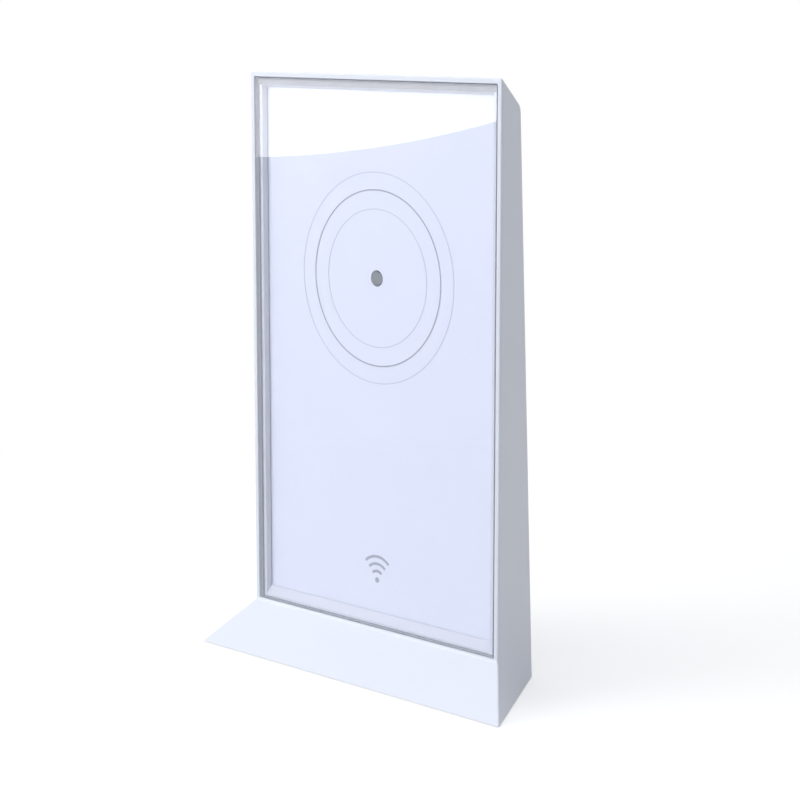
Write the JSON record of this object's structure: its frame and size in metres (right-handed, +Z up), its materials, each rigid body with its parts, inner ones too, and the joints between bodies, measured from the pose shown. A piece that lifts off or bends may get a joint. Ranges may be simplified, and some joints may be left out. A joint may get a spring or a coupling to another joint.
{
  "type": "wireless router",
  "caption": "Tabletop wireless router: tapered white tower on a flared foot, clear front window over a ringed panel, sockets and reset button at the back.",
  "frame": {"origin": "on the table, under the middle of the overall box", "axes": "+Z up the tower, -Y out of the front window, +X to the right of somebody who faces the window"},
  "size_m": [0.1464, 0.0514, 0.2077],
  "materials": {
    "white_moulding": "satin white moulded ABS",
    "white_spacer": "matt white moulded spacer",
    "lavender_white_panel": "printed lavender-white panel",
    "clear_acrylic": "clear polished acrylic",
    "grey_moulding": "matt grey moulding",
    "smoked_lens": "smoked light pipe",
    "led_resin": "led resin",
    "board_laminate": "green solder mask",
    "black_plastic": "matt black moulding",
    "tinned_steel": "tinned sheet",
    "aluminium": "extruded aluminium",
    "thermal_gum": "soft thermal pad",
    "gold_plate": "gold-plated contacts",
    "zinc_steel": "zinc-plated steel",
    "rubber": "matt rubber"
  },
  "bodies": {
    "housing": {"housing_shell": "white_moulding", "rear_cover": "white_moulding", "window_spacer": "white_spacer", "face_panel": "lavender_white_panel", "front_window": "clear_acrylic", "base_plate": "grey_moulding", "inner_frame": "grey_moulding", "status_lens": "smoked_lens", "status_led": "led_resin", "main_board": "board_laminate", "antenna_left": "board_laminate", "antenna_right": "board_laminate", "antenna_top": "board_laminate", "processor": "black_plastic", "memory_chip_1": "black_plastic", "memory_chip_2": "black_plastic", "power_inductor": "black_plastic", "network_socket_1": "black_plastic", "network_socket_2": "black_plastic", "power_inlet": "black_plastic", "reset_switch": "black_plastic", "antenna_lead_left": "black_plastic", "antenna_lead_right": "black_plastic", "antenna_lead_top": "black_plastic", "radio_shield_left": "tinned_steel", "radio_shield_right": "tinned_steel", "heat_spreader": "aluminium", "capacitor_1": "aluminium", "capacitor_2": "aluminium", "capacitor_3": "aluminium", "thermal_pad": "thermal_gum", "socket_contacts_1": "gold_plate", "socket_contacts_2": "gold_plate", "antenna_connector_left": "gold_plate", "antenna_connector_right": "gold_plate", "antenna_connector_top": "gold_plate", "power_inlet_pin": "zinc_steel", "cover_screw_1": "zinc_steel", "cover_screw_2": "zinc_steel", "cover_screw_3": "zinc_steel", "cover_screw_4": "zinc_steel", "frame_screw_1": "zinc_steel", "frame_screw_2": "zinc_steel", "frame_screw_3": "zinc_steel", "frame_screw_4": "zinc_steel", "base_screw_1": "zinc_steel", "base_screw_2": "zinc_steel", "base_screw_3": "zinc_steel", "base_screw_4": "zinc_steel", "board_screw_1": "zinc_steel", "board_screw_2": "zinc_steel", "board_screw_3": "zinc_steel", "board_screw_4": "zinc_steel", "foot_pad_front_left": "rubber", "foot_pad_front_right": "rubber", "foot_pad_rear_left": "rubber", "foot_pad_rear_right": "rubber"},
    "button": {"reset_button": "grey_moulding", "reset_plunger": "black_plastic"}
  },
  "joints": [
    {"name": "reset_press", "type": "slide", "parent": "housing", "child": "button", "axis": [0, -1, 0], "range_m": [0, 0.0008], "stiffness_N_per_m": 1500, "springref_m": -0.0004}
  ]
}
